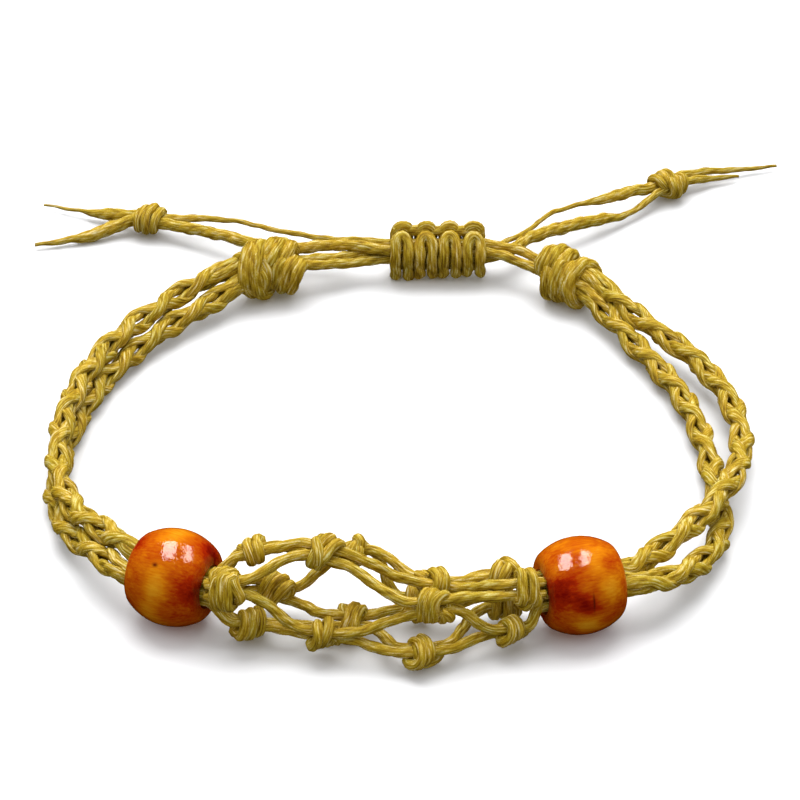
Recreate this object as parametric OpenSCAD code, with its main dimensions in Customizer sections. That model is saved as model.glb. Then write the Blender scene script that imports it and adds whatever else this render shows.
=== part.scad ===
/* [Cord] */
// Diameter of the waxed cotton cord
cord_d = 1.0; // [0.9:0.05:1.0]
// Gap that the cord keeps from its knots and bores
cord_room = 0.14; // [0.14:0.01:0.16]

/* [Beads] */
// Diameter of a wooden bead
bead_d = 8.0; // [7.9:0.05:8.2]
// Length of a bead along its bore
bead_l = 6.5; // [6.3:0.1:6.7]
// Diameter of the bore
bead_bore_d = 3.7; // [3.7:0.05:3.8]
// Radius of the barrel's outline
bead_barrel_r = 4.8; // [4.6:0.1:5.4]
// Rounding of the rim at each end
bead_rim_r = 1.2; // [1.0:0.05:1.3]

/* [Plaits] */
// Width of a cord where it is pressed flat in a plait
strand_w = 0.66; // [0.6:0.02:0.66]
// Thickness of a cord where it is pressed flat in a plait
strand_h = 0.44; // [0.42:0.02:0.46]
// Mean distance of a cord from the middle of its plait
plait_r = 0.62; // [0.61:0.01:0.63]
// How far a cord moves in and out of that distance
plait_swing = 0.29; // [0.28:0.01:0.3]

/* [Knots] */
// Length of the sliding knot
slide_l = 9.4; // [8.6:0.2:9.4]
// Square knots that the sliding knot is tied from
slide_knots = 4; // [3:1:5]
// Outer radius of the left stop knot
stop_left_r = 3.0; // [2.9:0.05:3.0]
// Outer radius of the right stop knot
stop_right_r = 2.65; // [2.6:0.05:2.7]

/* [Hidden] */
$fn = 64;
sides = 6;
tail_sides = 8;
up = [0, 0, 1];
tube_d = cord_d - cord_room;
past = 0.5;
look = 0.2;

// Where eight cords run side by side through a bore
slot_r = 1.25;

// Beads: centre and turn of the bore about the upright
bead_left_at = [-18.3, -24.1, bead_d / 2];
bead_left_yaw = -24;
bead_right_at = [14.5, -25.2, bead_d / 2];
bead_right_yaw = 16;
bead_reach = bead_l / 2;
bead_meet = 0.15;
rim_steps = 5;
barrel_steps = 14;
mouth = 0.2;

// Stop knots: centre, and turn of the axis that points from the closure to the plaits
stop_left_at = [-12.4, 26.5, 3.02];
stop_left_yaw = 200;
stop_right_at = [15.6, 25.6, 2.7];
stop_right_yaw = -38;
stop_wire = 1.45;
stop_left_turns = 4;
stop_right_turns = 3;
stop_pitch = 1.3;
stop_taper = 0.3;
stop_bore_d = 3.4;

// Sliding knot: centre, with its axis along X, and its turn about that axis
slide_at = [3.6, 30.0, 2.87];
slide_roll = 22;
slide_wire = 1.25;
slide_bore_w = 2.0;
slide_bore_h = 3.2;

// Middle line of each pair of plaits, from its stop knot to its bead.
// Columns: x, y, z, half of the distance between the two plaits,
// and the angle of the outer plait about the middle line, 0 outwards and 90 above
left_pair = [
    [-13.0, 26.3, 3.02, 0.95, 40],
    [-15.1, 25.45, 3.0, 0.95, 39],
    [-18.6, 22.3, 2.55, 1.3, 34],
    [-22.0, 18.6, 2.3, 1.2, 40],
    [-24.8, 14.6, 2.15, 1.0, 50],
    [-27.2, 9.4, 2.15, 0.95, 62],
    [-28.7, 3.6, 2.2, 0.95, 74],
    [-29.4, -2.2, 2.2, 0.95, 86],
    [-29.2, -8.2, 2.25, 0.95, 100],
    [-27.6, -14.0, 2.7, 0.95, 115],
    [-24.9, -18.4, 3.6, 0.95, 130],
    [-22.8, -21.5, 4.3, 0.95, 143],
    [-21.6, -22.55, 4.1, 0.95, 145],
    [-18.4, -24.1, 4.0, 0.95, 145],
];
left_turns = 4.75;

right_pair = [
    [16.1, 25.2, 2.7, 0.95, 40],
    [17.8, 23.7, 2.7, 0.95, 42],
    [20.4, 19.2, 2.3, 1.0, 38],
    [22.7, 15.3, 2.0, 1.3, 25],
    [25.0, 11.6, 1.8, 1.6, 14],
    [26.9, 7.0, 1.7, 1.8, 9],
    [27.9, 2.4, 1.7, 1.8, 9],
    [28.2, -2.6, 1.8, 1.5, 18],
    [27.9, -6.8, 2.2, 1.25, 40],
    [27.3, -10.9, 2.5, 1.2, 80],
    [26.3, -14.5, 2.7, 1.3, 116],
    [24.3, -18.3, 3.1, 1.4, 138],
    [21.9, -21.6, 3.6, 1.35, 160],
    [19.4, -23.8, 4.0, 1.1, 178],
    [18.1, -24.2, 4.0, 0.95, 178],
    [14.6, -25.2, 4.0, 0.95, 178],
];
right_turns = 4.75;

// Length at each end where the cords of a plait run side by side
lead = 4.8;
turn_rings = 10;
outer_phase = 45;
inner_phase = 135;

// Knots of the net. Rows run from the left bead to the right one.
// Columns: x, y, z, pitch and yaw of the knot's axis,
// and its turn round the net, 0 below, 90 in front, 180 above and 270 behind
net_knots = [
    [[-12.0, -27.3, 1.8, 0, -10, 20], [-13.9, -28.2, 5.8, 14, -10, 115],
     [-11.8, -24.7, 7.0, 20, -8, 195], [-10.3, -23.4, 2.3, -18, 0, 300]],
    [[-6.1, -29.5, 2.35, 0, -10, 55], [-6.0, -26.4, 8.0, -10, -10, 150],
     [-3.9, -22.8, 5.4, 18, 0, 215], [-4.0, -26.8, 1.6, 0, 0, 330]],
    [[1.7, -30.9, 1.8, 0, 5, 20], [2.7, -29.6, 5.2, 5, 5, 95],
     [2.7, -25.4, 4.5, -10, 0, 190], [1.4, -24.6, 1.8, 0, 0, 330]],
    [[8.9, -28.6, 2.1, 0, 12, 50], [10.1, -27.9, 5.6, -5, 12, 120],
     [8.3, -24.9, 4.9, 0, 8, 200], [8.5, -24.2, 1.7, 0, 5, 325]],
];
net_cords = 8;
net_rows = 4;
net_cols = 4;
knot_cords = 2;
knot_turns = 2;
knot_wire = 0.8;
knot_pack = 0.9;
knot_side = (tube_d + cord_room) / 2;
knot_half = 1.15;
net_steps = 4;
slot_turn_left = 30;
slot_turn_right = 5;
net_flat = [0.3, 0.4, 1];

// Routes of the cords from the stop knots through the sliding knot
link_routes = [
    [[-11.8, 26.2, 3.1], [-10.0, 26.8, 3.1], [-5.5, 28.3, 2.45], [-1.1, 29.65, 2.2],
     [0.5, 29.75, 2.2], [7.6, 29.75, 2.2]],
    [[-12.1, 27.2, 3.1], [-10.3, 27.8, 3.1], [-5.8, 29.3, 2.6], [-1.1, 30.55, 2.5],
     [0.5, 30.65, 2.55], [7.6, 30.65, 2.55]],
    [[15.0, 25.4, 2.7], [13.3, 26.6, 2.6], [11.0, 28.1, 2.9], [8.3, 29.3, 3.15],
     [6.7, 29.35, 3.2], [-0.7, 29.35, 3.2]],
    [[15.6, 26.2, 2.7], [13.9, 27.5, 2.8], [11.6, 29.3, 3.2], [8.3, 30.2, 3.5],
     [6.7, 30.25, 3.55], [-0.7, 30.25, 3.55]],
];
link_names = ["link_cord_left_1", "link_cord_left_2", "link_cord_right_1", "link_cord_right_2"];

// Routes of the free ends, from the sliding knot through an end knot to the tip
tail_routes = [
    [[-0.8, 29.35, 3.2], [-4.0, 29.9, 3.45], [-6.7, 31.0, 2.9], [-9.7, 31.0, 2.6], [-12.9, 31.6, 2.4],
     [-16.3, 33.9, 2.1], [-19.3, 35.7, 1.8], [-23.2, 37.4, 1.6], [-25.9, 38.2, 1.5],
     [-27.7, 37.7, 1.1], [-30.2, 36.5, 0.7], [-35.3, 35.1, 0.5]],
    [[-0.8, 30.25, 3.55], [-4.0, 30.9, 3.5], [-6.9, 32.2, 2.9], [-9.6, 33.4, 2.7], [-12.5, 34.6, 2.6],
     [-15.3, 36.3, 2.4], [-19.4, 37.7, 2.0], [-22.9, 38.3, 1.6], [-25.6, 39.1, 1.5],
     [-29.3, 40.5, 0.9], [-35.1, 43.0, 0.5]],
    [[8.0, 29.75, 2.2], [10.4, 30.9, 2.3], [12.5, 33.3, 2.4], [16.4, 36.1, 2.1], [19.4, 38.2, 1.6],
     [22.3, 40.3, 1.0], [25.9, 44.0, 1.6], [27.9, 45.8, 1.5], [30.9, 47.6, 0.9], [33.9, 48.6, 0.6]],
    [[8.0, 30.65, 2.55], [10.2, 32.4, 2.5], [12.5, 34.6, 2.6], [14.5, 37.5, 2.6], [17.6, 39.8, 2.4],
     [20.0, 40.8, 2.4], [22.3, 42.5, 2.2], [25.2, 44.7, 1.6], [27.2, 46.5, 1.55], [30.3, 48.6, 1.1],
     [34.1, 49.8, 0.7], [37.9, 50.9, 0.5]],
];
tail_names = ["tail_cord_left_1", "tail_cord_left_2", "tail_cord_right_1", "tail_cord_right_2"];
tail_step = 2.2;

// Knots on the free ends: centre, and turn of the axis
end_left_at = [-24.4, 38.25, 1.58];
end_left_yaw = 165;
end_right_at = [26.55, 45.25, 1.58];
end_right_yaw = 42;
end_turns = 3;
end_wire = 0.9;

// Vector help
function unit(v) = v / norm(v);
function place(v) = [v[0], v[1], v[2]];
function mix(a, b, w) = a + (b - a) * w;
function ease(w) = let(c = min(max(w, 0), 1)) c * c * (3 - 2 * c);
function wrap(a) = a - 360 * round(a / 360);
function heading(pitch, yaw) = [cos(pitch) * cos(yaw), cos(pitch) * sin(yaw), sin(pitch)];

// Smooth curve through the rows of a route, followed by length
function marks(route) = [
    for (i = 0, s = 0; i < len(route);
         s = i + 1 < len(route) ? s + norm(place(route[i + 1]) - place(route[i])) : s, i = i + 1) s
];
function slope(route, m, i) =
    let(a = max(i - 1, 0), b = min(i + 1, len(route) - 1)) (route[b] - route[a]) / (m[b] - m[a]);
function curve(p, u, q, v, l, w) =
    p * (2 * w - 3) * w * w + p + u * l * w * (1 - w) * (1 - w)
    + q * (3 - 2 * w) * w * w - v * l * w * w * (1 - w);
function at(route, m, s) =
    let(found = [for (k = [0:len(m) - 2]) if (m[k] <= s) k],
        i = len(found) > 0 ? found[len(found) - 1] : 0,
        l = m[i + 1] - m[i])
    curve(route[i], slope(route, m, i), route[i + 1], slope(route, m, i + 1), l, (s - m[i]) / l);
function run_dir(route, m, s) =
    unit(place(at(route, m, min(s + look, m[len(m) - 1]))) - place(at(route, m, max(s - look, 0))));

// Closed tube along points. Each point has a thin direction, across the flat of the cord
function path_dir(p, i) = unit(p[min(i + 1, len(p) - 1)] - p[max(i - 1, 0)]);
function ring(p, thin, i, w, h, n) =
    let(t = path_dir(p, i), wide = unit(cross(t, thin[i])), flat = cross(wide, t))
    [for (j = [0:n - 1]) p[i] + wide * w / 2 * cos(360 * j / n) + flat * h / 2 * sin(360 * j / n)];
module tube(p, thin, w, h, n) {
    last = (len(p) - 1) * n;
    polyhedron(
        points = [for (i = [0:len(p) - 1]) each ring(p, thin, i, w, h, n)],
        faces = concat(
            [[for (j = [n - 1:-1:0]) j]],
            [for (i = [0:len(p) - 2]) for (j = [0:n - 1])
                let(a = i * n + j, b = i * n + (j + 1) % n) each [[a, b + n, a + n], [a, b, b + n]]],
            [[for (j = [0:n - 1]) last + j]]));
}

// One cord of a plait. Two cords turn one way about the middle and two the other way,
// and each goes over the first and under the next
function strand_angle(hand, half, phase, turns, u) = hand * (phase + 360 * turns * u) + 180 * half;
function strand_at(route, m, side, which, hand, half, turns, s) =
    let(c = at(route, m, s),
        total = m[len(m) - 1],
        t = run_dir(route, m, s),
        out = side * unit(cross(t, up)),
        above = side * cross(out, t),
        e1 = out * cos(c[4]) + above * sin(c[4]),
        e2 = cross(t, e1),
        u = min(max((s - lead) / (total - 2 * lead), 0), 1),
        angle = strand_angle(hand, half, which > 0 ? outer_phase : inner_phase, turns, u),
        r = plait_r + hand * plait_swing * cos(2 * angle),
        inside = ease(1 - min(s, total - s) / lead),
        slot = wrap(angle) / 2,
        plaited = which * (e1 * (c[3] + r * cos(angle)) + e2 * r * sin(angle)),
        bored = which * slot_r * (e1 * cos(slot) + e2 * sin(slot)),
        thin = which * (e1 * cos(angle) + e2 * sin(angle)))
    [place(c) + mix(plaited, bored, inside), unit(mix(thin, bored / slot_r, inside))];
function strand(route, side, which, hand, half, turns) =
    let(m = marks(route),
        total = m[len(m) - 1],
        steps = round(turn_rings * turns),
        stops = concat([0, lead / 2], [for (i = [0:steps]) mix(lead, total - lead, i / steps)],
                       [total - lead / 2, total]))
    [for (s = stops) strand_at(route, m, side, which, hand, half, turns, s)];
module plait_cord(route, side, which, k, turns) {
    rows = strand(route, side, which, k < 2 ? 1 : -1, k % 2, turns);
    color("goldenrod") tube([for (r = rows) r[0]], [for (r = rows) r[1]], strand_w, strand_h, sides);
}

// Net: turn of a knot about its axis, and where its two cords go in and out
function knot_roll(row, col) = 180 - net_knots[row][col][5];
function turned(v, pitch, yaw) =
    let(x = v[0] * cos(pitch) - v[2] * sin(pitch), z = v[0] * sin(pitch) + v[2] * cos(pitch))
    [x * cos(yaw) - v[1] * sin(yaw), x * sin(yaw) + v[1] * cos(yaw), z];
function knot_port(row, col, along, side) =
    let(k = net_knots[row][col], roll = knot_roll(row, col))
    place(k) + turned([along * knot_half, side * knot_side * cos(roll), side * knot_side * sin(roll)],
                      k[3], k[4]);
function knot_of(row, c) = row % 2 == 0 ? floor((c + 1) / 2) % net_cols : floor(c / 2);
function side_of(row, c) = (row + c) % 2 == 0 ? 1 : -1;
function slot_port(where, yaw, turn, c, reach) =
    let(phi = 360 / net_cords * (c + 0.5) + turn)
    where + turned([reach, -slot_r * sin(phi), -slot_r * cos(phi)], 0, yaw);
function leg(p, u, q, v) =
    [for (i = [0:net_steps]) curve(p, u, q, v, norm(q - p), i / net_steps)];
function net_path(c) =
    let(last = net_rows - 1,
        a = [for (row = [0:last]) let(k = net_knots[row][knot_of(row, c)]) heading(k[3], k[4])],
        left = heading(0, bead_left_yaw),
        right = heading(0, bead_right_yaw))
    concat(
        [slot_port(bead_left_at, bead_left_yaw, slot_turn_left, c, bead_meet)],
        leg(slot_port(bead_left_at, bead_left_yaw, slot_turn_left, c, bead_reach + mouth), left,
            knot_port(0, knot_of(0, c), -1, side_of(0, c)), a[0]),
        [for (row = [0:last - 1]) each leg(knot_port(row, knot_of(row, c), 1, side_of(row, c)), a[row],
                                    knot_port(row + 1, knot_of(row + 1, c), -1, side_of(row + 1, c)),
                                    a[row + 1])],
        leg(knot_port(last, knot_of(last, c), 1, side_of(last, c)), a[last],
            slot_port(bead_right_at, bead_right_yaw, slot_turn_right, c, -bead_reach - mouth), right),
        [slot_port(bead_right_at, bead_right_yaw, slot_turn_right, c, -bead_meet)]);
module net_cord(c) {
    p = net_path(c);
    color("goldenrod") tube(p, [for (q = p) net_flat], tube_d, tube_d, sides);
}

// Loop of cord with straight flanks, round an opening of w by h across the X axis
module wrap_loop(w, h, wire) {
    flank = (w - h) / 2;
    middle_r = (h + wire) / 2;
    for (end = [0, 180])
        rotate([end, 0, 0]) translate([0, flank, 0]) rotate([0, 90, 0])
            rotate_extrude(angle = 180) translate([middle_r, 0]) circle(d = wire);
    for (z = [-middle_r, middle_r])
        translate([0, -flank, z]) rotate([-90, 0, 0]) cylinder(d = wire, h = 2 * flank);
}

module small_knot(turns, wire) {
    for (i = [0:turns - 1])
        translate([(i - (turns - 1) / 2) * knot_pack * wire, 0, 0])
            wrap_loop(knot_cords * tube_d + 2 * cord_room, tube_d + cord_room, wire);
}

module net_knot(row, col) {
    k = net_knots[row][col];
    color("darkgoldenrod")
        translate(place(k)) rotate([0, 0, k[4]]) rotate([0, -k[3], 0])
            rotate([knot_roll(row, col), 0, 0]) small_knot(knot_turns, knot_wire);
}

// Barrel with rounded rims, bored end to end
function arc(x, y, r, from, to, steps) =
    [for (i = [0:steps]) let(a = mix(from, to, i / steps)) [x + r * cos(a), y + r * sin(a)]];
module bead(where, yaw) {
    rim_y = bead_reach - bead_rim_r;
    barrel_x = bead_d / 2 - bead_barrel_r;
    rim_x = barrel_x + sqrt(pow(bead_barrel_r - bead_rim_r, 2) - rim_y * rim_y);
    meet = atan2(rim_y, rim_x - barrel_x);
    barrel = arc(barrel_x, 0, bead_barrel_r, -meet, meet, barrel_steps);
    color("chocolate")
        translate(where) rotate([0, 90, yaw])
            difference() {
                rotate_extrude()
                    polygon(concat(
                        [[0, -bead_reach]],
                        arc(rim_x, -rim_y, bead_rim_r, -90, -meet, rim_steps),
                        [for (i = [1:barrel_steps - 1]) barrel[i]],
                        arc(rim_x, rim_y, bead_rim_r, meet, 90, rim_steps),
                        [[0, bead_reach]]));
                cylinder(d = bead_bore_d, h = bead_l + 2 * past, center = true);
            }
}

// Big knot that ends the plaits: turns of the bundle round the others, the end ones smaller
module stop_knot(where, yaw, r, turns) {
    core_r = r - stop_wire / 2;
    core_l = (turns - 1) * stop_pitch;
    color("darkgoldenrod")
        translate(where) rotate([0, 90, yaw])
            difference() {
                union() {
                    cylinder(r = core_r, h = core_l, center = true);
                    for (i = [0:turns - 1])
                        translate([0, 0, i * stop_pitch - core_l / 2])
                            rotate_extrude()
                                translate([core_r - (i % (turns - 1) == 0 ? stop_taper : 0), 0])
                                    circle(d = stop_wire);
                }
                cylinder(d = stop_bore_d, h = 2 * r + 2 * past, center = true);
            }
}

// Sliding knot: each square knot has two bars across the core and a bump on each edge
module stadium(w, h) {
    square([w, h - w], center = true);
    for (y = [-(h - w) / 2, (h - w) / 2])
        translate([0, y]) circle(d = w);
}

module sliding_knot() {
    bars = 2 * slide_knots;
    bar_gap = (slide_l - slide_wire) / (bars - 1);
    color("darkgoldenrod")
        translate(slide_at) rotate([slide_roll, 0, 0])
            difference() {
                union() {
                    rotate([0, 90, 0]) rotate([0, 0, 90])
                        linear_extrude(slide_l - slide_wire, center = true)
                            stadium(slide_bore_w + slide_wire, slide_bore_h + slide_wire);
                    for (i = [0:bars - 1])
                        translate([(i - (bars - 1) / 2) * bar_gap, 0, 0])
                            rotate([90, 0, 0]) wrap_loop(slide_bore_h, slide_bore_w, slide_wire);
                }
                rotate([0, 90, 0]) rotate([0, 0, 90])
                    linear_extrude(slide_l + 2 * past, center = true) stadium(slide_bore_w, slide_bore_h);
            }
}

module plain_cord(route, step, n) {
    m = marks(route);
    total = m[len(m) - 1];
    count = round(total / step);
    p = [for (i = [0:count]) at(route, m, total * i / count)];
    color("goldenrod") tube(p, [for (q = p) up], tube_d, tube_d, n);
}

module end_knot(where, yaw) {
    color("darkgoldenrod") translate(where) rotate([0, 0, yaw]) small_knot(end_turns, end_wire);
}

pairs = ["left", "right"];
places = ["outer", "inner"];

bead(bead_left_at, bead_left_yaw);  // bead_left
bead(bead_right_at, bead_right_yaw);  // bead_right
stop_knot(stop_left_at, stop_left_yaw, stop_left_r, stop_left_turns);  // stop_knot_left
stop_knot(stop_right_at, stop_right_yaw, stop_right_r, stop_right_turns);  // stop_knot_right
sliding_knot();
end_knot(end_left_at, end_left_yaw);  // end_knot_left
end_knot(end_right_at, end_right_yaw);  // end_knot_right
for (i = [0:1]) for (k = [1:4]) {
    plait_cord(left_pair, 1, 1 - 2 * i, k - 1, left_turns);
    plait_cord(right_pair, -1, 1 - 2 * i, k - 1, right_turns);
}
for (c = [1:net_cords])
    net_cord(c - 1);
for (row = [1:net_rows]) for (col = [1:net_cols])
    net_knot(row - 1, col - 1);
for (i = [0:3]) {
    plain_cord(link_routes[i], tail_step, tail_sides);
    plain_cord(tail_routes[i], tail_step, tail_sides);
}
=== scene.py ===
import math

import bpy
import numpy as np
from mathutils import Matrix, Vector


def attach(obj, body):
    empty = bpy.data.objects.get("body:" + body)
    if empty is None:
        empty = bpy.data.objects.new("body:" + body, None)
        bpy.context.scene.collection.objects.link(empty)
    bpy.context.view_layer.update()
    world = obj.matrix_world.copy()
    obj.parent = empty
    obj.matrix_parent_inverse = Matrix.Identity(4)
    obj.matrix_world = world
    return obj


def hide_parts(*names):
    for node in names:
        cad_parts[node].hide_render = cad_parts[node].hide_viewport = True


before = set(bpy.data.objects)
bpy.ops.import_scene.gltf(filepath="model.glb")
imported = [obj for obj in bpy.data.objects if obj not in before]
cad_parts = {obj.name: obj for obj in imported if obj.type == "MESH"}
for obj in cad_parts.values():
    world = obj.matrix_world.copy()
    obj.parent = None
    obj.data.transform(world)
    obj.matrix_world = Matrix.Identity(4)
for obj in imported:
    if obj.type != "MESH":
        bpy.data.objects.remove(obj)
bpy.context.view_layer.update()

# Sizes are in millimetres and turned into metres when a mesh or light is made
MM = 0.001
TAU = 2 * math.pi
UP = np.array([0.0, 0.0, 1.0])

# Cord: thickness, number of plies, share of the radius that their groove takes,
# and length of one twist
cord_d = 1.0
plies = 3
ply_groove = 0.12
ply_pitch = 4.4

# What makes it uneven: share by which its thickness varies, how far its middle wavers,
# and how fast both change along it
uneven = 0.05
swell_rate = 2.3
waver = 0.035
waver_rates = (1.9, 2.6)

# Its mesh: edges of a ply and of a ring, distance between two rings, points of a route before
# they are evened out, and the stretch on which the fibre pattern may start
ply_edges = 6
ring_edges = plies * ply_edges
ring_step = 0.27
route_points = 400
fibre_room = 50

# First seed of the plaits, the net's cords, its knots and the sliding knot,
# and the step between the seeds of neighbours
plait_seed = 100
net_seed = 200
net_knot_seed = 300
slide_seed = 400
seed_step = 10

# Beads: sizes, centre, and turn of the bore about the upright
bead_d = 8.0
bead_l = 6.5
bead_bore_d = 3.7
bead_barrel_r = 4.8
bead_rim_r = 1.2
bead_left_at = np.array([-18.3, -24.1, bead_d / 2])
bead_left_yaw = -24
bead_right_at = np.array([14.5, -25.2, bead_d / 2])
bead_right_yaw = 16

# Points of a bead's mesh: round the bore, and along a rim, the barrel, an end and the bore
bead_around = 144
rim_points = 10
barrel_points = 44
end_points = 6
bore_points = 8

# Plaits: number of cords, their width and thickness, their mean distance from the middle and
# how far they swing in and out of it, the stretch on which they leave a knot or bore, how far
# from the middle they lie in a bore, the angle at which the first cord of an outer and of an inner
# plait starts, and rings to a ring step
plait_cords = 4
strand_w = 1.18
strand_h = 0.76
plait_r = 0.6
plait_swing = 0.2
plait_lead = 4.8
slot_r = 1.25
outer_phase = 45
inner_phase = 135
plait_detail = 1.2

# Middle line of each pair of plaits, from its stop knot to its bead.
# Columns: x, y, z, half of the distance between the two plaits,
# and the angle of the outer plait about the middle line, 0 outwards and 90 above
left_pair = np.array([
    [-13.0, 26.3, 3.02, 0.95, 40],
    [-15.1, 25.45, 3.0, 0.95, 39],
    [-18.6, 22.3, 2.55, 1.1, 34],
    [-22.0, 18.6, 2.3, 0.98, 40],
    [-24.8, 14.6, 2.15, 1.0, 50],
    [-27.2, 9.4, 2.15, 0.95, 62],
    [-28.7, 3.6, 2.2, 0.95, 74],
    [-29.4, -2.2, 2.2, 0.95, 86],
    [-29.2, -8.2, 2.25, 0.95, 100],
    [-27.6, -14.0, 2.7, 0.95, 115],
    [-24.9, -18.4, 3.6, 0.95, 130],
    [-22.8, -21.5, 4.3, 0.95, 143],
    [-21.6, -22.55, 4.1, 0.95, 145],
    [-18.4, -24.1, 4.0, 0.95, 145],
])
left_turns = 4.75
right_pair = np.array([
    [16.1, 25.2, 2.7, 0.95, 40],
    [17.8, 23.7, 2.7, 0.85, 42],
    [20.4, 19.2, 2.3, 0.85, 38],
    [22.7, 15.3, 2.0, 1.2, 25],
    [25.0, 11.6, 1.8, 1.6, 14],
    [26.9, 7.0, 1.7, 1.8, 9],
    [27.9, 2.4, 1.7, 1.8, 9],
    [28.2, -2.6, 1.8, 1.5, 18],
    [27.9, -6.8, 2.2, 1.25, 40],
    [27.3, -10.9, 2.5, 1.2, 80],
    [26.3, -14.5, 2.7, 1.3, 116],
    [24.3, -18.3, 3.1, 1.4, 138],
    [21.9, -21.6, 3.6, 1.35, 160],
    [19.4, -23.8, 4.0, 1.1, 178],
    [18.1, -24.2, 4.0, 0.95, 178],
    [14.6, -25.2, 4.0, 0.95, 178],
])
right_turns = 4.75

# Knots of the net, four to a row, rows from the left bead to the right one.
# Columns: x, y, z, pitch and yaw of the knot's axis, and its turn round the net
# (0 below, 90 in front, 180 above, 270 behind)
net_knots = np.array([
    [[-12.0, -27.3, 1.8, 0, -10, 20], [-13.9, -28.2, 5.8, 14, -10, 115],
     [-11.8, -24.7, 7.0, 20, -8, 195], [-10.3, -23.4, 2.3, -18, 0, 300]],
    [[-6.1, -29.5, 2.35, 0, -10, 55], [-6.0, -26.4, 8.0, -10, -10, 150],
     [-3.9, -22.8, 5.4, 18, 0, 215], [-4.0, -26.8, 1.6, 0, 0, 330]],
    [[1.7, -30.9, 1.8, 0, 5, 20], [2.7, -29.6, 5.2, 5, 5, 95],
     [2.7, -25.4, 4.5, -10, 0, 190], [1.4, -24.6, 1.8, 0, 0, 330]],
    [[8.9, -28.6, 2.1, 0, 12, 50], [10.1, -27.9, 5.6, -5, 12, 120],
     [8.3, -24.9, 4.9, 0, 8, 200], [8.5, -24.2, 1.7, 0, 5, 325]],
])

# How the strands of each net knot wrap it. Columns: strands, radius, where they start, how far they
# slant, turn of the wrap about the upright, and place of a smaller loop along the axis, 0 for none
net_wraps = [
    [[3, 0.8, 150, 0.5, 30, 0], [3, 1.0, 60, 0.2, -20, 1.0], [2, 0.72, 60, 0.25, 18, 0],
     [3, 0.72, 130, 0.5, -30, 0]],
    [[2, 0.8, 150, 0.6, 28, 0], [2, 0.8, 300, 0.4, -22, -0.5], [2, 0.68, 80, 0.3, -20, 0.75],
     [2, 0.8, 210, 0.4, -15, 0]],
    [[2, 0.8, 130, 0.7, 32, 0.4], [3, 0.68, 200, 0.5, -25, 0], [2, 0.72, 60, 0.5, 22, 0],
     [2, 0.8, 10, 0.4, 0, 0]],
    [[2, 0.75, 130, 0.6, 28, 0], [2, 0.85, 180, 0.15, 5, 0], [2, 0.75, 300, 0.4, -20, 0.8],
     [2, 0.8, 40, 0.4, 0, 0]],
]

# Net: its knots and cords, how far from a knot's middle a cord goes in, to the side and along
# the axis, turn of the cords in each bore, how near they come to its middle and its mouth, and
# points of a line from knot to knot
net_rows = len(net_knots)
net_cols = len(net_knots[0])
net_cords = 8
net_cord_d = 0.93
knot_side = 0.5
knot_half = 1.15
slot_turn_left = 30
slot_turn_right = 5
bead_meet = 0.15
mouth = 0.2
leg_points = 40

# Smaller loop of a net knot: height over the axis, how much later it starts, radius and flank
loop_rise = 0.25
loop_later = 120
loop_r = 0.7
loop_flank = 0.35

# Wraps of a knot: points of a strand, distance between strands, the same where there are more
# than two, how much lower the outer strands lie, how far and fast a strand rides up and drifts,
# how far its tucked ends reach and spread, and how sharply the flanks turn
wrap_points = 90
wrap_spread = 0.76
close_spread = 0.66
wrap_dome = 0.22
wrap_ride = 0.07
wrap_ride_rate = 1.5
wrap_drift = 0.09
tuck_reach = 0.35
tuck_spread = 0.5
flank_turn = 3

# Stop knots: centre, and turn of the axis that points from the closure to the plaits
stop_left_at = np.array([-12.4, 26.5, 3.02])
stop_left_yaw = 200
stop_right_at = np.array([15.6, 25.6, 2.7])
stop_right_yaw = -38

# Bands of cord that wrap each stop knot. Columns: place along the axis, turn about the upright,
# pitch, strands, radius, width of a strand, slant and start
stop_bands = {
    "left": [[-1.4, -30, 10, 3, 2.15, 1.3, 0.8, 40], [0.9, -38, 0, 2, 2.3, 1.35, -0.6, 160],
             [1.5, 30, -6, 2, 1.8, 1.25, 0.4, 250]],
    "right": [[-0.7, 12, 0, 3, 2.05, 1.4, 0.4, 130], [1.7, -8, 8, 1, 1.8, 1.5, -0.3, 250]],
}

# End knots: centre, turn of the axis, and where their wraps start
end_left_at = np.array([-24.4, 38.25, 1.58])
end_left_yaw = 165
end_left_start = 200
end_right_at = np.array([26.55, 45.25, 1.58])
end_right_yaw = 42
end_right_start = 140

# Sliding knot: centre, turn about its axis, length, thickness of its cord, number of arches,
# distance between them, half the width of an arch, and its points
slide_at = np.array([3.6, 30.0, 2.87])
slide_roll = 22
slide_l = 9.4
slide_cord_d = 1.1
slide_arches = 4
arch_pitch = 2.27
arch_leg = 0.6
arch_points = 9

# Its underside: height at the left end and how much it rises to the right, and where the cord
# runs as shares of the first leg point's y and of that height
bottom_z = -2.8
bottom_rise = 1.0
foot_y = 0.45
knee_y = 0.95
knee_z = 0.72

# Its faces and core across the axis. A face has the points of a leg on the way up, where the arch
# starts, and how far the arch reaches past that. The core cords are a little shorter
slide_front = {"legs": [(-1.5, -0.2), (-1.45, 0.8)], "start": (-0.8, 1.45), "over": (1.1, 0.5)}
slide_back = {"legs": [(1.6, 0)], "start": (1.45, 1.05), "over": (0.15, 0.75)}
slide_cores = [(1.4, 1.3), (-0.6, -1.3)]
core_short = 0.3

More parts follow.
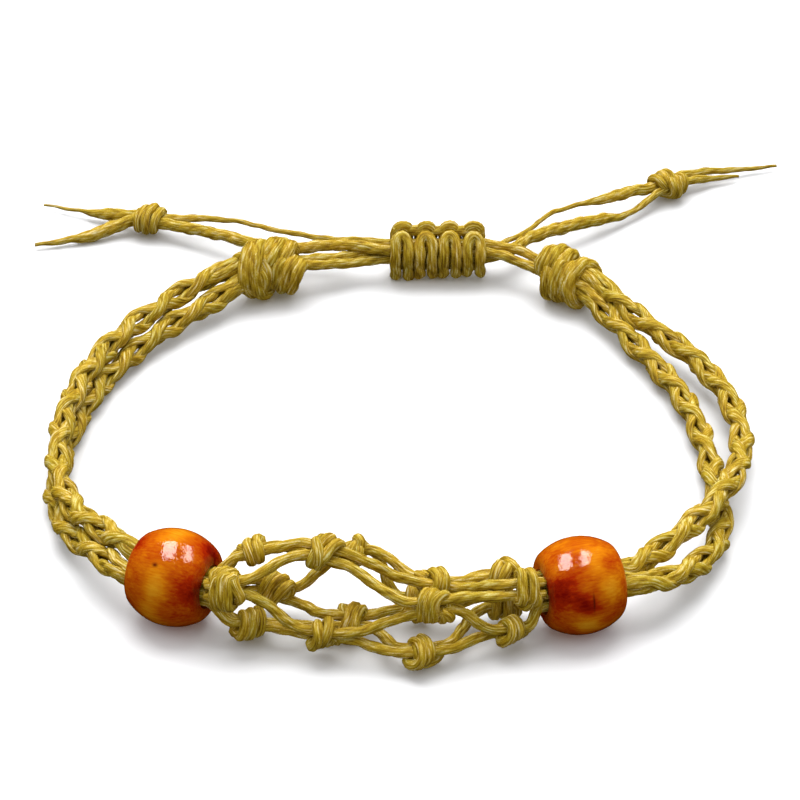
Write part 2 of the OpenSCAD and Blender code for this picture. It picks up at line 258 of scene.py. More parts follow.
# Routes of the cords from the stop knots through the sliding knot
link_routes = {
    "left_1": [[-11.8, 26.2, 3.1], [-10.0, 26.8, 3.1], [-5.5, 28.3, 2.45], [-1.1, 29.65, 2.2],
               [0.5, 29.75, 2.2], [7.6, 29.75, 2.2]],
    "left_2": [[-12.1, 27.2, 3.1], [-10.3, 27.8, 3.1], [-5.8, 29.3, 2.6], [-1.1, 30.55, 2.5],
               [0.5, 30.65, 2.55], [7.6, 30.65, 2.55]],
    "right_1": [[15.0, 25.4, 2.7], [13.3, 26.6, 2.6], [11.0, 28.1, 2.9], [8.3, 29.3, 3.15],
                [6.7, 29.35, 3.2], [-0.7, 29.35, 3.2]],
    "right_2": [[15.6, 26.2, 2.7], [13.9, 27.5, 2.8], [11.6, 29.3, 3.2], [8.3, 30.2, 3.5],
                [6.7, 30.25, 3.55], [-0.7, 30.25, 3.55]],
}

# Routes of the free ends, from the sliding knot through an end knot to the tip
tail_routes = {
    "left_1": [[-0.8, 29.35, 3.2], [-4.0, 29.9, 3.45], [-6.7, 31.0, 2.9], [-9.7, 31.0, 2.6],
               [-12.9, 31.6, 2.4], [-16.3, 33.9, 2.1], [-19.3, 35.7, 1.8], [-23.2, 37.4, 1.6],
               [-25.9, 38.2, 1.5], [-27.7, 37.7, 1.1], [-30.2, 36.5, 0.7], [-35.3, 35.1, 0.5]],
    "left_2": [[-0.8, 30.25, 3.55], [-4.0, 30.9, 3.5], [-6.9, 32.2, 2.9], [-9.6, 33.4, 2.7],
               [-12.5, 34.6, 2.6], [-15.3, 36.3, 2.4], [-19.4, 37.7, 2.0], [-22.9, 38.3, 1.6],
               [-25.6, 39.1, 1.5], [-29.3, 40.5, 0.9], [-35.1, 43.0, 0.5]],
    "right_1": [[8.0, 29.75, 2.2], [10.4, 30.9, 2.3], [12.5, 33.3, 2.4], [16.4, 36.1, 2.1],
                [19.4, 38.2, 1.6], [22.3, 40.3, 1.0], [25.9, 44.0, 1.6], [27.9, 45.8, 1.5],
                [30.9, 47.6, 0.9], [33.9, 48.6, 0.6]],
    "right_2": [[8.0, 30.65, 2.55], [10.2, 32.4, 2.5], [12.5, 34.6, 2.6], [14.5, 37.5, 2.6],
                [17.6, 39.8, 2.4], [20.0, 40.8, 2.4], [22.3, 42.5, 2.2], [25.2, 44.7, 1.6],
                [27.2, 46.5, 1.55], [30.3, 48.6, 1.1], [34.1, 49.8, 0.7], [37.9, 50.9, 0.5]],
}

# Free end in which each link goes on inside the sliding knot
goes_on = {"left_1": "right_1", "left_2": "right_2", "right_1": "left_1", "right_2": "left_2"}

# How thick each free end is along its length. Columns: place from 0 to 1, share of the cord
tail_thickness = {
    "left_1": [[0, 1.1], [0.3, 1.25], [0.68, 1.2], [0.84, 1.4], [0.91, 0.75], [1, 0.36]],
    "left_2": [[0, 0.9], [0.15, 0.6], [0.45, 0.5], [0.55, 0.75], [0.68, 1.1], [0.81, 1.35],
               [0.88, 0.45], [1, 0.25]],
    "right_1": [[0, 1.1], [0.3, 1.35], [0.45, 1.2], [0.55, 0.6], [0.75, 0.9], [0.86, 0.9], [1, 0.3]],
    "right_2": [[0, 0.8], [0.12, 0.5], [0.36, 0.5], [0.46, 1.25], [0.7, 1.1], [0.8, 0.8], [1, 0.3]],
}

# Camera: the photo's width and focal length in pixels, and where it looks from
photo_px = 800
focal_px = 3280
view_elevation = math.radians(33)
view_distance = 295
look_at = Vector((0, 8.4, 0))
clip_start = 5


def add_object(name, data):
    thing = bpy.data.objects.new(name, data)
    bpy.context.scene.collection.objects.link(thing)
    return thing


def make_camera():
    data = bpy.data.cameras.new("camera")
    camera = add_object("camera", data)
    back = Vector((0, -math.cos(view_elevation), math.sin(view_elevation)))
    camera.location = (look_at + back * view_distance) * MM
    camera.rotation_euler = back.to_track_quat("Z", "Y").to_euler()
    data.lens = data.sensor_width * focal_px / photo_px
    data.clip_start = clip_start * MM
    bpy.context.scene.camera = camera


make_camera()


# Vectors, and smooth curves through the rows of a route
def unit(v):
    return v / np.linalg.norm(v, axis=-1, keepdims=True)


def ease(w):
    """0 to 1 as w goes from 0 to 1, with no corner at either end"""
    c = np.clip(w, 0, 1)
    return c * c * (3 - 2 * c)


def hump(w):
    """Half a wave as w goes from 0 to 1, and 0 outside"""
    return np.sin(np.clip(w, 0, 1) * math.pi)


def lengths(points):
    """Length of a line up to each of its points"""
    steps = np.linalg.norm(np.diff(points, axis=0), axis=1)
    return np.concatenate([[0], np.cumsum(steps)])


def hermite(p, u, q, v, length, w):
    """Curve from p to q that leaves along u and arrives along v"""
    return (p * (2 * w - 3) * w * w + p + u * length * w * (1 - w) ** 2
            + q * (3 - 2 * w) * w * w - v * length * w * w * (1 - w))


def follow(rows, s):
    """The rows of a route at the lengths s along it"""
    rows = np.asarray(rows, float)
    m = lengths(rows[:, :3])
    last = len(m) - 1
    before = np.maximum(np.arange(last + 1) - 1, 0)
    after = np.minimum(np.arange(last + 1) + 1, last)
    slope = (rows[after] - rows[before]) / (m[after] - m[before])[:, None]
    i = np.clip(np.searchsorted(m, s, side="right") - 1, 0, last - 1)
    span = (m[i + 1] - m[i])[:, None]
    return hermite(rows[i], slope[i], rows[i + 1], slope[i + 1], span, (s - m[i])[:, None] / span)


def evenly(points):
    """The same line with evenly spaced points"""
    m = lengths(points)
    s = np.linspace(0, m[-1], max(int(round(m[-1] / ring_step)), 2) + 1)
    return np.stack([np.interp(s, m, points[:, k]) for k in range(points.shape[1])], axis=1)


def smooth_route(rows):
    """Evenly spaced points on the smooth curve through the rows"""
    total = lengths(np.asarray(rows, float)[:, :3])[-1]
    return evenly(follow(rows, np.linspace(0, total, route_points)))


def carried(points, first):
    """Side vectors carried along a line without turning about it"""
    sides = np.empty_like(points)
    side = np.asarray(first, float)
    for i, t in enumerate(unit(np.gradient(points, axis=0))):
        side = unit(side - t * side.dot(t))
        sides[i] = side
    return sides


def heading(pitch, yaw):
    rise = math.radians(pitch)
    turn = math.radians(yaw)
    return np.array([math.cos(rise) * math.cos(turn), math.cos(rise) * math.sin(turn), math.sin(rise)])


class Place:
    """A centre with an axis and two sides, for what is tied round a line"""

    def __init__(self, centre, pitch, yaw, roll=0):
        r = math.radians(roll)
        self.centre = np.asarray(centre, float)
        self.axis = heading(pitch, yaw)
        level = heading(0, yaw + 90)
        above = np.cross(self.axis, level)
        self.side = level * math.cos(r) + above * math.sin(r)
        self.top = above * math.cos(r) - level * math.sin(r)

    def out(self, local):
        """Points given along the axis, to the side and to the top, in the object's frame"""
        local = np.asarray(local, float)
        return (self.centre + local[..., 0:1] * self.axis + local[..., 1:2] * self.side
                + local[..., 2:3] * self.top)


# Cord meshes: each ring of a cord has its plies' outline, and turns with their twist
class Cords:
    """Collects twisted cords and makes one mesh of them"""

    # Keeps the side of a cord defined where it starts straight up
    nudge = 0.01

    def __init__(self, seed):
        self.draw = np.random.default_rng(seed)
        self.co = []
        self.fibre = []
        self.crown = []
        self.faces = []
        self.count = 0

    def phase(self):
        return self.draw.uniform(0, TAU)

    def add(self, points, width=cord_d, height=None, thin=None, share=None):
        """One cord along the points. thin is the way that its height goes, and share is how thick
        it is at each point"""
        height = width if height is None else height
        share = np.ones(len(points)) if share is None else share
        tangent = unit(np.gradient(points, axis=0))
        if thin is None:
            thin = carried(points, np.cross(tangent[0], UP) + self.nudge * UP)
        wide = unit(np.cross(tangent, thin))
        flat = np.cross(wide, tangent)
        s = lengths(points)
        swell = 1 + uneven * np.sin(s * swell_rate + self.phase())
        away = waver * np.stack([np.sin(s * rate + self.phase()) for rate in waver_rates], 1)
        middle = points + wide * away[:, :1] + flat * away[:, 1:]
        angle = np.arange(ring_edges) * TAU / ring_edges
        crown = np.abs(np.cos(plies * angle / 2))
        lobe = 1 - ply_groove * (1 - crown)
        twist = self.phase() + TAU * s / ply_pitch
        phi = angle[None, :] + twist[:, None]
        size = (share * swell / 2)[:, None] * lobe[None, :]
        ring = (middle[:, None] + wide[:, None] * (width * size * np.cos(phi))[..., None]
                + flat[:, None] * (height * size * np.sin(phi))[..., None])
        # The table flattens what rests on it
        ring[..., 2] = np.maximum(ring[..., 2], 0)
        along = s[:, None] + self.draw.uniform(0, fibre_room)
        fibre = np.stack([np.cos(phi), np.sin(phi), np.broadcast_to(along, phi.shape)], -1)
        self.co.append(ring.reshape(-1, 3))
        self.fibre.append(fibre.reshape(-1, 3))
        self.crown.append(np.tile(crown, len(points)))
        self.skin(len(points))

    def skin(self, rings):
        """Faces between the rings of the cord that comes last, and one at each end"""
        first = self.count + np.arange(rings - 1)[:, None] * ring_edges
        a = first + np.arange(ring_edges)
        b = first + (np.arange(ring_edges) + 1) % ring_edges
        self.faces += np.stack([a, b, b + ring_edges, a + ring_edges], -1).reshape(-1, 4).tolist()
        end = self.count + rings * ring_edges
        self.faces.append(list(range(self.count + ring_edges - 1, self.count - 1, -1)))
        self.faces.append(list(range(end - ring_edges, end)))
        self.count = end

    def make(self, name, *nodes):
        mesh = bpy.data.meshes.new(name)
        co = np.concatenate(self.co) * MM
        mesh.from_pydata(co.tolist(), [], self.faces)
        fibre = mesh.attributes.new("fibre", "FLOAT_VECTOR", "POINT")
        fibre.data.foreach_set("vector", np.concatenate(self.fibre).astype(np.float32).ravel())
        # crown is 1 on a ply's crown and 0 in the groove beside it, and the cord material paints shade into
        # the grooves with it
        crown = mesh.attributes.new("crown", "FLOAT", "POINT")
        crown.data.foreach_set("value", np.concatenate(self.crown).astype(np.float32))
        mesh.shade_smooth()
        mesh.materials.append(cord_material)
        piece = add_object(name, mesh)
        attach(piece, "root")
        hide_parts(*nodes)
        return piece


# Materials
class Nodes:
    """A new material whose nodes are made and linked in one line each"""

    def __init__(self, name):
        self.material = bpy.data.materials.new(name)
        self.material.use_nodes = True
        self.tree = self.material.node_tree
        self.shader = self.tree.nodes["Principled BSDF"]

    def add(self, kind, settings=(), **inputs):
        node = self.tree.nodes.new(kind)
        for key, value in dict(settings).items():
            setattr(node, key, value)
        for key, value in inputs.items():
            self.feed(node.inputs[key.replace("_", " ")], value)
        return node

    def feed(self, socket, value):
        if isinstance(value, bpy.types.NodeSocket):
            self.tree.links.new(value, socket)
        else:
            socket.default_value = value

    def shade(self, **values):
        """The material, with values and links given to the shader's own sockets"""
        for key, value in values.items():
            self.feed(self.shader.inputs[key.replace("_", " ")], value)
        return self.material

    def attribute(self, name, output):
        return self.add("ShaderNodeAttribute", {"attribute_name": name}).outputs[output]

    def stretch(self, vector, scale, shift=(0, 0, 0)):
        node = self.add("ShaderNodeMapping", Vector=vector, Location=shift, Scale=scale)
        return node.outputs["Vector"]

    def noise(self, vector, scale=1.0, detail=2.0, rough=0.5):
        node = self.add("ShaderNodeTexNoise", Vector=vector, Scale=scale, Detail=detail, Roughness=rough)
        return node.outputs["Fac"]

    def ramp(self, factor, stops):
        node = self.add("ShaderNodeValToRGB", Fac=factor)
        bands = node.color_ramp.elements
        for band, (position, colour) in zip(bands, (stops[0], stops[-1])):
            band.position = position
            band.color = (*colour, 1)
        for position, colour in stops[1:-1]:
            band = bands.new(position)
            band.color = (*colour, 1)
        return node.outputs["Color"]

    def maths(self, operation, a, b):
        node = self.add("ShaderNodeMath", {"operation": operation})
        self.feed(node.inputs[0], a)
        self.feed(node.inputs[1], b)
        return node.outputs["Value"]

    def spot(self, vector, centre, radii):
        """1 at a centre, and 0 from an ellipsoid round it"""
        offset = self.add("ShaderNodeVectorMath", {"operation": "SUBTRACT"})
        self.feed(offset.inputs[0], vector)
        self.feed(offset.inputs[1], centre)
        share = self.add("ShaderNodeVectorMath", {"operation": "DIVIDE"})
        self.feed(share.inputs[0], offset.outputs["Vector"])
        self.feed(share.inputs[1], radii)
        away = self.add("ShaderNodeVectorMath", {"operation": "LENGTH"})
        self.feed(away.inputs[0], share.outputs["Vector"])
        fade = self.add("ShaderNodeMapRange", {"interpolation_type": "SMOOTHSTEP"},
                        Value=away.outputs["Value"], From_Min=1.0, From_Max=0.0)
        return fade.outputs["Result"]

    def blend(self, factor, a, b, kind="MIX"):
        """Mix of two colours, which a mix node has at its sockets 6 and 7, with the result at 2"""
        node = self.add("ShaderNodeMix", {"data_type": "RGBA", "blend_type": kind})
        self.feed(node.inputs[0], factor)
        self.feed(node.inputs[6], a)
        self.feed(node.inputs[7], b)
        return node.outputs[2]

    def bump(self, height, distance, strength, normal=None):
        node = self.add("ShaderNodeBump", Height=height, Distance=distance, Strength=strength)
        if normal is not None:
            self.feed(node.inputs["Normal"], normal)
        return node.outputs["Normal"]


def make_cord_material():
    """Waxed cotton: streaks along the fibres, paler and darker patches, painted shade in the grooves
    between the plies, and the palest streaks whitened as painted sheen
    """
    m = Nodes("waxed_cotton_cord")
    fibre = m.attribute("fibre", "Vector")
    crown = m.attribute("crown", "Fac")
    streaks = m.noise(m.stretch(fibre, (3.2, 3.2, 0.7)), detail=3.0, rough=0.6)
    patches = m.noise(m.stretch(fibre, (0.5, 0.5, 0.28)))
    threads = m.noise(m.stretch(fibre, (6.0, 6.0, 1.0)), scale=1.5)
    body = m.ramp(streaks, [
        (0.30, (0.17, 0.095, 0.001)),
        (0.44, (0.40, 0.245, 0.005)),
        (0.55, (0.56, 0.385, 0.036)),
        # The palest streaks are partly the fibres' own colour and partly painted sheen: this stop is
        # whitened to stand in for the cord's highlights
        (0.67, (0.76, 0.66, 0.33)),
    ])
    tint = m.ramp(patches, [(0.35, (0.86, 0.89, 0.66)), (0.65, (1.0, 0.97, 1.0))])
    # Painted shade: the colour darkens towards the grooves between the plies, where shade falls, on top of
    # the shading that the geometry itself gets
    groove_shade = m.ramp(crown, [(0.0, (0.78, 0.72, 0.50)), (0.6, (1.0, 1.0, 1.0))])
    tinted = m.blend(1.0, body, tint, "MULTIPLY")
    coarse = m.bump(streaks, distance=0.0001, strength=0.6)
    return m.shade(
        Base_Color=m.blend(1.0, tinted, groove_shade, "MULTIPLY"),
        Normal=m.bump(threads, distance=0.00008, strength=0.7, normal=coarse),
        Roughness=0.6,
        Specular_IOR_Level=0.1)


cord_material = make_cord_material()


# Wraps of cord, which the knots are made of
def overhand(cords, place, strands=2, flank=0.5, radius=0.92, spread=wrap_spread, slant=0.3, start=0,
             sweep=300, tuck=70, ear=0.28, width=0.92):
    """Strands side by side that wrap once round a core and tuck in at both ends. They go round for
    sweep degrees and tuck in for tuck more, shift along the axis by slant, and ear is how far their
    ends lean out. flank widens the wrap to both sides"""
    t = np.linspace(0, 1, wrap_points)
    angle = np.radians(start + (sweep + 2 * tuck) * t - tuck)
    edge = tuck / (sweep + 2 * tuck)
    rise = ease(np.minimum(t, 1 - t) / edge)
    leave = hump(t / edge) - hump((1 - t) / edge)
    shift = slant * (1 - 2 * np.clip((t - edge) / (1 - 2 * edge), 0, 1)) + ear * leave
    for k in range(strands):
        offset = (k - (strands - 1) / 2) * spread
        lower = 1 - wrap_dome * (offset / max(strands * spread / 2, spread)) ** 2
        ride = 1 + wrap_ride * np.sin(angle * wrap_ride_rate + cords.phase())
        drift = wrap_drift * np.sin(angle + cords.phase())
        reach = lower * ride * (tuck_reach + (1 - tuck_reach) * rise)
        x = shift + drift + offset * (tuck_spread + (1 - tuck_spread) * rise)
        y = reach * (radius * np.cos(angle) + flank * np.tanh(flank_turn * np.cos(angle)))
        z = reach * radius * np.sin(angle)
        cords.add(evenly(place.out(np.stack([x, y, z], 1))), width=width)


def make_end_knot(name, centre, yaw, start):
    cords = Cords(seed=start)
    overhand(cords, Place(centre, 0, yaw), strands=3, start=start)
    return cords.make("end_wrap_" + name, "end_knot_" + name)


end_wraps = {
    "left": make_end_knot("left", end_left_at, end_left_yaw, end_left_start),
    "right": make_end_knot("right", end_right_at, end_right_yaw, end_right_start),
}


# Free ends
def make_tail(name):
    points = smooth_route(tail_routes[name])
    place = lengths(points)
    place = place / place[-1]
    table = np.array(tail_thickness[name])
    share = np.interp(place, table[:, 0], table[:, 1])
    cords = Cords(seed=len(points))
    cords.add(points, share=share)
    piece = cords.make("tail_line_" + name, "tail_cord_" + name)
    return piece, points


for name in tail_routes:
    tail, line = make_tail(name)


# Links from the stop knots through the closure. A link's seed is where it starts
for name, rows in link_routes.items():
    cords = Cords(seed=int(abs(rows[0][0]) * seed_step))
    cords.add(smooth_route(rows + tail_routes[goes_on[name]][:1]))
    cords.make("link_line_" + name, "link_cord_" + name)


# Plaits: half of the cords turn one way about the middle and half the other way
def plait_strand(rows, side, which, hand, half, turns):
    """Middle line of a cord and the way in which it is flattened. side is 1 on the left and -1 on
    the right, and which is 1 in the outer plait and -1 in the inner one. hand is the way that the
    cord turns, 1 or -1, and half is 0 for the first cord that turns that way and 1 for the second"""
    total = lengths(rows[:, :3])[-1]
    s = np.linspace(0, total, int(total / ring_step * plait_detail))
    at = follow(rows, s)
    tangent = unit(np.gradient(at[:, :3], axis=0))
    out = side * unit(np.cross(tangent, UP))
    above = side * np.cross(out, tangent)
    lean = np.radians(at[:, 4:5])
    apart = out * np.cos(lean) + above * np.sin(lean)
    across = np.cross(tangent, apart)
    done = np.clip((s - plait_lead) / (total - 2 * plait_lead), 0, 1)
    phase = outer_phase if which > 0 else inner_phase
    degrees = hand * (phase + 360 * turns * done) + 180 * half
    angle = np.radians(degrees)[:, None]
    r = plait_r + hand * plait_swing * np.cos(2 * angle)
    inside = ease(1 - np.minimum(s, total - s) / plait_lead)[:, None]
    slot = np.radians((degrees - 360 * np.round(degrees / 360)) / 2)[:, None]
    plaited = which * (apart * (at[:, 3:4] + r * np.cos(angle)) + across * r * np.sin(angle))
    bored = which * slot_r * (apart * np.cos(slot) + across * np.sin(slot))
    thin = which * (apart * np.cos(angle) + across * np.sin(angle))
    centre = at[:, :3] + plaited * (1 - inside) + bored * inside
    return centre, unit(thin * (1 - inside) + bored / slot_r * inside)


def make_plaits(label, rows, side, turns):
    for spot, which in (("outer", 1), ("inner", -1)):
        for k in range(plait_cords):
            hand = 1 if k < plait_cords / 2 else -1
            centre, thin = plait_strand(rows, side, which, hand, k % 2, turns)
            cords = Cords(seed=plait_seed + seed_step * k + which + side)
            cords.add(centre, width=strand_w, height=strand_h, thin=thin)
            cords.make(f"plait_line_{label}_{spot}_{k + 1}", f"braid_{label}_{spot}_{k + 1}")


make_plaits("left", left_pair, 1, left_turns)
make_plaits("right", right_pair, -1, right_turns)


# Net: each cord goes through one knot of every row, on the side that the knot leaves for it
def knot_of(row, c):
    return (c + 1) // 2 % net_cols if row % 2 == 0 else c // 2


def side_of(row, c):
    return 1 if (row + c) % 2 == 0 else -1


def net_place(row, col, turn=0):
    """Place of a knot, with its wraps turned about the upright"""
    x, y, z, pitch, yaw, around = net_knots[row][col]
    return Place((x, y, z), pitch, yaw + turn, 180 - around)


def knot_port(row, c, along):
    place = net_place(row, knot_of(row, c))
    return place.out([along * knot_half, side_of(row, c) * knot_side, 0])


def slot_port(centre, yaw, turn, c, reach):
    """Where cord c lies in a bead's bore, at a distance from the bead's middle"""
    phi = math.radians(360 / net_cords * (c + 0.5) + turn)
    place = Place(centre, 0, yaw)
    return place.out([reach, -slot_r * math.sin(phi), -slot_r * math.cos(phi)])


def left_port(c, reach):
    return slot_port(bead_left_at, bead_left_yaw, slot_turn_left, c, reach)


def right_port(c, reach):
    return slot_port(bead_right_at, bead_right_yaw, slot_turn_right, c, -reach)


def leg(p, u, q, v):
    w = np.linspace(0, 1, leg_points)[:, None]
    return hermite(p, u, q, v, np.linalg.norm(q - p), w)


def net_line(c):
    """Middle line of a cord, from the left bead's bore to the right one's"""
    axes = [net_place(row, knot_of(row, c)).axis for row in range(net_rows)]
    reach = bead_l / 2 + mouth
    line = [left_port(c, bead_meet)[None]]
    line.append(leg(left_port(c, reach), heading(0, bead_left_yaw), knot_port(0, c, -1), axes[0]))
    for row in range(net_rows - 1):
        line.append(leg(knot_port(row, c, 1), axes[row], knot_port(row + 1, c, -1), axes[row + 1]))
    line.append(leg(knot_port(net_rows - 1, c, 1), axes[-1],
                    right_port(c, reach), heading(0, bead_right_yaw)))
    line.append(right_port(c, bead_meet)[None])
    return evenly(np.concatenate(line))


for c in range(net_cords):
    cords = Cords(seed=net_seed + c)
    cords.add(net_line(c), width=net_cord_d)
    cords.make(f"net_line_{c + 1}", f"net_cord_{c + 1}")


def make_net_knot(row, col):
    """A wrap of strands, and for some knots a smaller loop beside it"""
    strands, radius, start, slant, turn, loop_at = net_wraps[row][col]
    cords = Cords(seed=net_knot_seed + net_cols * row + col)
    overhand(cords, net_place(row, col, turn), strands=strands, radius=radius,
             start=start, slant=slant, spread=close_spread if strands > 2 else wrap_spread)
    if loop_at:
        beside = net_place(row, col, -turn)
        beside.centre = net_place(row, col).out([loop_at, 0, loop_rise])
        overhand(cords, beside, strands=1, radius=loop_r, start=start + loop_later, slant=-slant,
                 flank=loop_flank)
    cords.make(f"net_wrap_{row + 1}_{col + 1}", f"net_knot_{row + 1}_{col + 1}")


for row in range(net_rows):
    for col in range(net_cols):
        make_net_knot(row, col)


# Stop knots
def make_stop_knot(name, centre, yaw):
    cords = Cords(seed=yaw)
    for along, turn, pitch, strands, radius, width, slant, start in stop_bands[name]:
        band = Place(centre + heading(0, yaw) * along, pitch, yaw + turn)
        overhand(cords, band, strands=strands, flank=0.0, radius=radius, spread=0.85, slant=slant,
                 start=start, sweep=350, tuck=55, ear=0.3, width=width)
    cords.make("stop_wrap_" + name, "stop_knot_" + name)


make_stop_knot("left", stop_left_at, stop_left_yaw)
make_stop_knot("right", stop_right_at, stop_right_yaw % 360)


# Sliding knot: one cord makes the legs in front and another those behind.
# Each pair of legs joins in a round arch, and those in front reach over the core
slide_place = Place(slide_at, 0, 0, slide_roll)


def slide_line(legs, start, over):
    """Cord that zigzags over one face, up a leg, through an arch and down the next leg"""
    rows = []
    for k in range(slide_arches):
        x = (k - (slide_arches - 1) / 2) * arch_pitch
        bottom = bottom_z + bottom_rise * (x / slide_l + 0.5)
        foot = [legs[0][0] * foot_y, bottom]
        knee = [legs[0][0] * knee_y, bottom * knee_z]
        rows.append([x - (arch_pitch / 2 if k else arch_leg), *foot])
        rows += [[x - arch_leg, *point] for point in [knee, *legs]]
        for a in np.linspace(0, math.pi, arch_points):
            up = math.sin(a)
            rows.append([x - arch_leg * math.cos(a), start[0] + over[0] * up, start[1] + over[1] * up])
        rows += [[x + arch_leg, *point] for point in [*reversed(legs), knee]]
    rows.append([x + arch_leg, *foot])
    return slide_place.out(smooth_route(rows))


def slide_core(y, z):
    """Straight cord inside the closure, which closes the gaps between the legs"""
    half = slide_arches * arch_pitch / 2 - core_short
    return slide_place.out(evenly(np.array([[-half, y, z], [half, y, z]])))


cords = Cords(seed=slide_seed)
for face in (slide_front, slide_back):
    cords.add(slide_line(**face), width=slide_cord_d)
for y, z in slide_cores:
    cords.add(slide_core(y, z), width=slide_cord_d)
cords.make("sliding_wrap", "sliding_knot")


# Beads: a barrel with rounded rims, turned about its bore
def bead_outline():
    """Half section of the bead, from bore to bore over the outside, as radius and place along the bore"""
    rim_x = bead_l / 2 - bead_rim_r
    barrel_y = bead_d / 2 - bead_barrel_r
    rim_y = barrel_y + math.sqrt((bead_barrel_r - bead_rim_r) ** 2 - rim_x ** 2)
    meet = math.atan2(rim_x, rim_y - barrel_y)
    rim = np.linspace(math.pi / 2, meet, rim_points)
    barrel = np.linspace(meet, -meet, barrel_points)[1:-1]
    bore = bead_bore_d / 2
    ends = np.linspace(bore, rim_y, end_points)[:-1]
    upper = [[r, bead_l / 2] for r in ends]
    upper += [[rim_y + bead_rim_r * math.cos(a), rim_x + bead_rim_r * math.sin(a)] for a in rim]
    middle = [[barrel_y + bead_barrel_r * math.cos(a), bead_barrel_r * math.sin(a)] for a in barrel]
    lower = [[r, -x] for r, x in reversed(upper)]
    inner = [[bore, x] for x in np.linspace(-bead_l / 2, bead_l / 2, bore_points)[1:-1]]
    return np.array(upper + middle + lower + inner)


def make_bead(name, centre, yaw, material):
    outline = bead_outline()
    n = len(outline)
    angle = np.arange(bead_around) * TAU / bead_around
    local = np.stack([
        np.broadcast_to(outline[:, 1], (bead_around, n)),
        outline[None, :, 0] * np.cos(angle)[:, None],
        outline[None, :, 0] * np.sin(angle)[:, None],
    ], -1).reshape(-1, 3)
    i, j = np.meshgrid(np.arange(bead_around), np.arange(n), indexing="ij")
    next_i = (i + 1) % bead_around
    next_j = (j + 1) % n
    corners = [i * n + j, i * n + next_j, next_i * n + next_j, next_i * n + j]
    faces = np.stack(corners, -1).reshape(-1, 4)
    mesh = bpy.data.meshes.new(name)
    mesh.from_pydata((Place(centre, 0, yaw).out(local) * MM).tolist(), [], faces.tolist())
    grain = mesh.attributes.new("grain", "FLOAT_VECTOR", "POINT")
    grain.data.foreach_set("vector", local.astype(np.float32).ravel())
    mesh.shade_smooth()
    mesh.materials.append(material)
    piece = add_object("bead_shell_" + name, mesh)
    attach(piece, "root")
    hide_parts("bead_" + name)


def make_bead_material(name, shift, bright, dark, marks):
    """Stained and varnished wood. shift is where its pattern starts, and bright, dark and marks
    are spots as (centre, radii) in the bead's own millimetres"""
    patch_share = 0.5
    line_share = 0.3
    bright_step = 0.19
    dark_step = 0.25
    mark_colour = (0.10, 0.008, 0.002, 1)
    m = Nodes("stained_wood_" + name)
    grain = m.attribute("grain", "Vector")
    shifted = m.stretch(grain, (1, 1, 1), shift)
    patches = m.noise(m.stretch(shifted, (0.25, 0.45, 0.45)), detail=4.0, rough=0.6)
    lines = m.noise(m.stretch(shifted, (0.8, 5.0, 5.0)), detail=3.0, rough=0.65)
    ripple = m.noise(m.stretch(shifted, (1.6, 1.6, 1.6)), detail=3.0, rough=0.6)
    tone = m.maths("ADD", m.maths("MULTIPLY", patches, patch_share), m.maths("MULTIPLY", lines, line_share))
    for centre, radii in bright:
        tone = m.maths("ADD", tone, m.maths("MULTIPLY", m.spot(grain, centre, radii), bright_step))
    for centre, radii in dark:
        tone = m.maths("SUBTRACT", tone, m.maths("MULTIPLY", m.spot(grain, centre, radii), dark_step))
    colour = m.ramp(tone, [
        (0.14, (0.16, 0.003, 0.001)),
        (0.28, (0.33, 0.018, 0.001)),
        (0.40, (0.45, 0.080, 0.002)),
        (0.52, (0.58, 0.170, 0.003)),
        (0.68, (0.70, 0.310, 0.012)),
    ])
    for centre, radii in marks:
        colour = m.blend(m.spot(grain, centre, radii), colour, mark_colour)
    return m.shade(
        Base_Color=colour,
        Normal=m.bump(lines, distance=0.00004, strength=0.5),
        Coat_Normal=m.bump(ripple, distance=0.0001, strength=0.45),
        Roughness=0.6,
        Specular_IOR_Level=0.0,
        Coat_Weight=0.9,
        Coat_Roughness=0.05)


left_wood = make_bead_material(
    "left", shift=(3.0, 2.1, 3.9),
    bright=[((0.1, 1.2, 3.8), (1.9, 3.0, 2.0)), ((0.2, -3.6, 1.6), (1.5, 2.5, 3.0)),
            ((-0.4, -3.8, -1.0), (1.6, 2.0, 2.4))],
    dark=[((2.7, -2.2, 1.2), (2.2, 2.4, 2.2)), ((2.8, 1.0, 2.4), (1.4, 2.2, 1.8)),
          ((-2.4, -0.5, 2.6), (1.4, 1.8, 1.6))],
    marks=[((-0.2, -2.7, 2.95), (0.42, 0.35, 0.25))])
right_wood = make_bead_material(
    "right", shift=(11.0, 7.7, 14.3),
    bright=[((0.6, -1.6, 3.6), (1.6, 2.4, 1.8)), ((1.5, -3.3, 1.5), (1.6, 1.8, 1.9)),
            ((-0.4, -3.8, -1.2), (1.8, 1.8, 1.4))],
    dark=[((-2.4, -2.3, 1.2), (2.3, 2.6, 2.6)), ((-0.7, -3.7, 0.9), (1.4, 1.6, 1.3))],
    marks=[((-0.1, -3.8, 1.0), (0.16, 0.7, 1.3))])
make_bead("left", bead_left_at, bead_left_yaw, left_wood)
make_bead("right", bead_right_at, bead_right_yaw, right_wood)


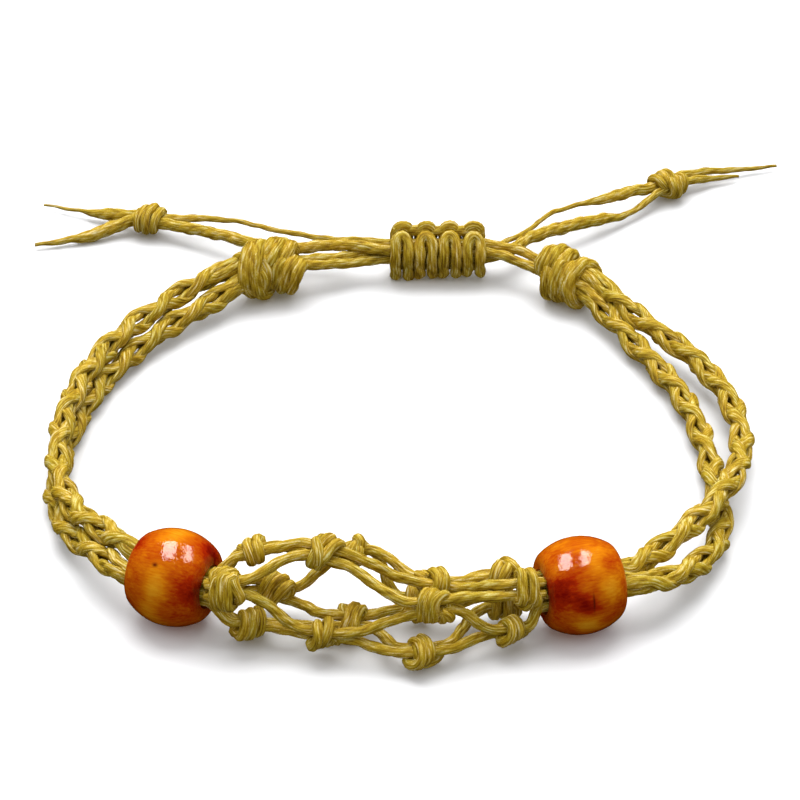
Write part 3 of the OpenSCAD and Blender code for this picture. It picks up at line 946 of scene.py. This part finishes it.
# Floor, light and sky
def make_floor(half):
    mesh = bpy.data.meshes.new("floor")
    edge = half * MM
    corners = [(-edge, -edge, 0), (edge, -edge, 0), (edge, edge, 0), (-edge, edge, 0)]
    mesh.from_pydata(corners, [], [(0, 1, 2, 3)])
    m = Nodes("white_table")
    mesh.materials.append(m.shade(Base_Color=(0.80, 0.80, 0.81, 1), Roughness=0.6, Specular_IOR_Level=0.2))
    floor = add_object("floor", mesh)
    floor.visible_glossy = False
    floor.visible_diffuse = False


def make_window(name, place, size, power):
    """Level window that only the gloss shows"""
    data = bpy.data.lights.new(name, "AREA")
    data.shape = "RECTANGLE"
    data.size = size[0] * MM
    data.size_y = size[1] * MM
    data.energy = power
    lamp = add_object(name, data)
    lamp.location = Vector(place) * MM
    lamp.visible_diffuse = False


def make_sun(tilt, turn, width, power):
    """Soft light from one side, which the gloss doesn't show"""
    data = bpy.data.lights.new("sun", "SUN")
    data.energy = power
    data.angle = math.radians(width)
    lamp = add_object("sun", data)
    lamp.rotation_euler = (math.radians(tilt), 0, math.radians(turn))
    lamp.visible_glossy = False


def make_sky(low, high):
    """Soft light that grows towards the top of the sky"""
    world = bpy.data.worlds.new("soft_light")
    world.use_nodes = True
    tree = world.node_tree
    place = tree.nodes.new("ShaderNodeTexCoord")
    split = tree.nodes.new("ShaderNodeSeparateXYZ")
    tree.links.new(place.outputs["Generated"], split.inputs["Vector"])
    strength = tree.nodes.new("ShaderNodeMapRange")
    tree.links.new(split.outputs["Z"], strength.inputs["Value"])
    strength.inputs["To Min"].default_value = low
    strength.inputs["To Max"].default_value = high
    background = tree.nodes["Background"]
    background.inputs["Color"].default_value = (0.98, 0.99, 1.0, 1)
    tree.links.new(strength.outputs["Result"], background.inputs["Strength"])
    world.cycles_visibility.glossy = False
    bpy.context.scene.world = world


make_floor(half=1500)
make_window("window_left", place=(-42, 8, 134), size=(50, 115), power=0.24)
make_window("window_right", place=(36, 8, 134), size=(34, 105), power=0.14)
make_sun(tilt=30, turn=181, width=60, power=3.3)
make_sky(low=0.3, high=1.45)
bpy.context.scene.view_settings.view_transform = "Standard"
